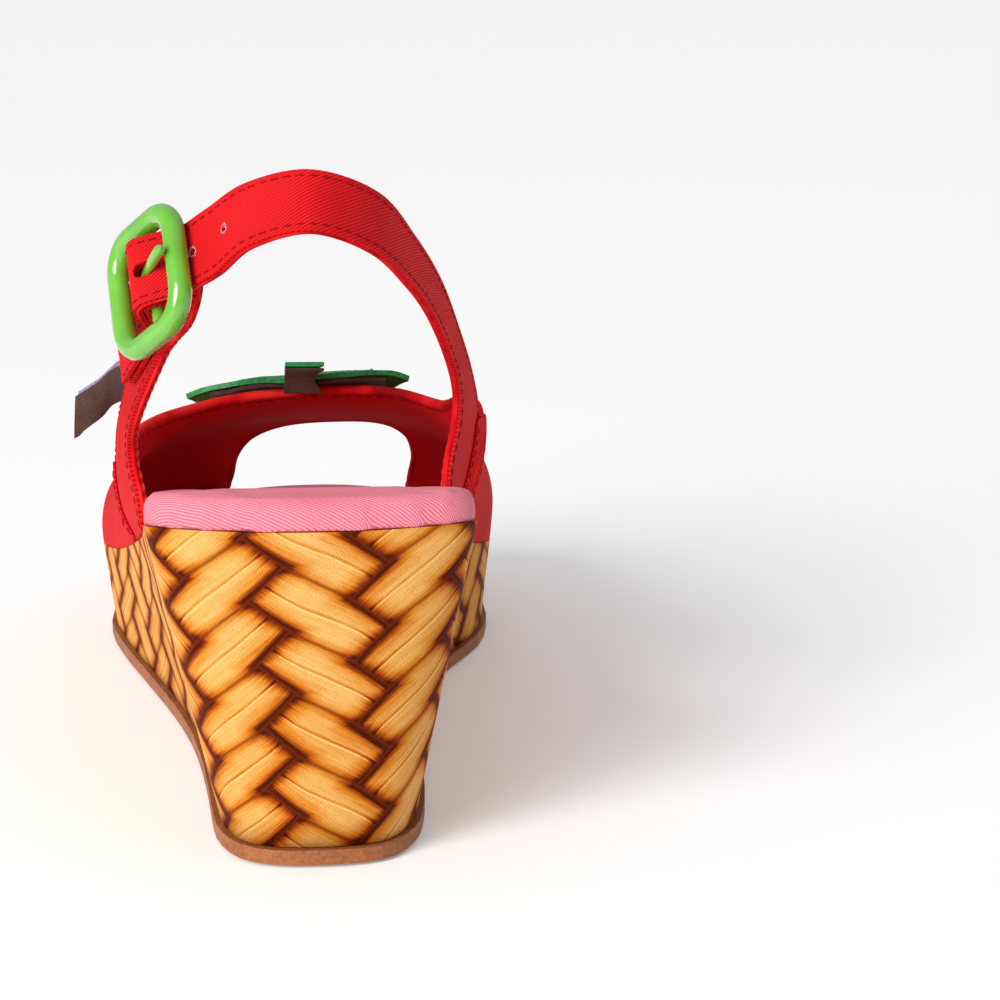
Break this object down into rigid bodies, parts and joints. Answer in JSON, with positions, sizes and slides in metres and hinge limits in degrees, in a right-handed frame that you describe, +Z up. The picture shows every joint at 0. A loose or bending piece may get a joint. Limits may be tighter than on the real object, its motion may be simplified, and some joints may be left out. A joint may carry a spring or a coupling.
{
  "type": "wedge sandal",
  "caption": "Open-toe slingback wedge sandal with a cloth upper, a lined ankle strap that runs through a buckle with a hinged prong, a padded footbed and a cloth-covered wedge.",
  "frame": {"origin": "centre of the heel's tread on the ground", "axes": "+Z up, +Y from heel to toe, +X to the medial side of this left sandal"},
  "size_m": [0.0968, 0.2345, 0.1337],
  "materials": {
    "red_cloth": "twill cloth, matt",
    "red_lining": "thin lining, matt",
    "pink_cloth": "twill cloth over foam, matt",
    "printed_cloth": "woven cloth printed with a basket weave",
    "moulded_core": "rigid moulded wedge",
    "fibreboard": "pressed fibre",
    "foam": "soft foam",
    "tan_rubber": "moulded, matt",
    "steel": "plain",
    "rivet_metal": "plain",
    "green_enamel": "gloss enamel",
    "green_leather": "matt",
    "brown_backing": "rough underside",
    "lilac_leather": "matt"
  },
  "bodies": {
    "sandal": {"outsole": "tan_rubber", "wedge_core": "moulded_core", "wedge_wrap": "printed_cloth", "steel_shank": "steel", "insole_board": "fibreboard", "shank_rivet_rear": "rivet_metal", "shank_rivet_front": "rivet_metal", "heel_nail_1": "rivet_metal", "heel_nail_2": "rivet_metal", "heel_nail_3": "rivet_metal", "footbed_foam": "foam", "footbed_cover": "pink_cloth", "vamp_upper": "red_cloth", "vamp_lining": "red_lining", "lateral_quarter": "red_cloth", "lateral_quarter_lining": "red_lining", "ankle_strap": "red_cloth", "ankle_strap_lining": "red_lining", "buckle_chape": "red_cloth", "calyx_leaf": "green_leather", "calyx_backing": "brown_backing", "calyx_stem": "green_leather", "stem_backing": "brown_backing", "side_tab_face": "lilac_leather", "side_tab_backing": "brown_backing"},
    "buckle": {"buckle_frame": "green_enamel"},
    "prong": {"buckle_prong": "green_enamel"}
  },
  "joints": [
    {"name": "buckle_swing", "type": "hinge", "parent": "sandal", "child": "buckle", "pos_m": [-0.03044, 0.01261, 0.10917], "axis": [0.1148, -0.561, -0.8198], "range_deg": [0, 3]},
    {"name": "prong_lift", "type": "hinge", "parent": "buckle", "child": "prong", "pos_m": [-0.03044, 0.01261, 0.10917], "axis": [0.1148, -0.561, -0.8198], "range_deg": [0, 20]}
  ]
}
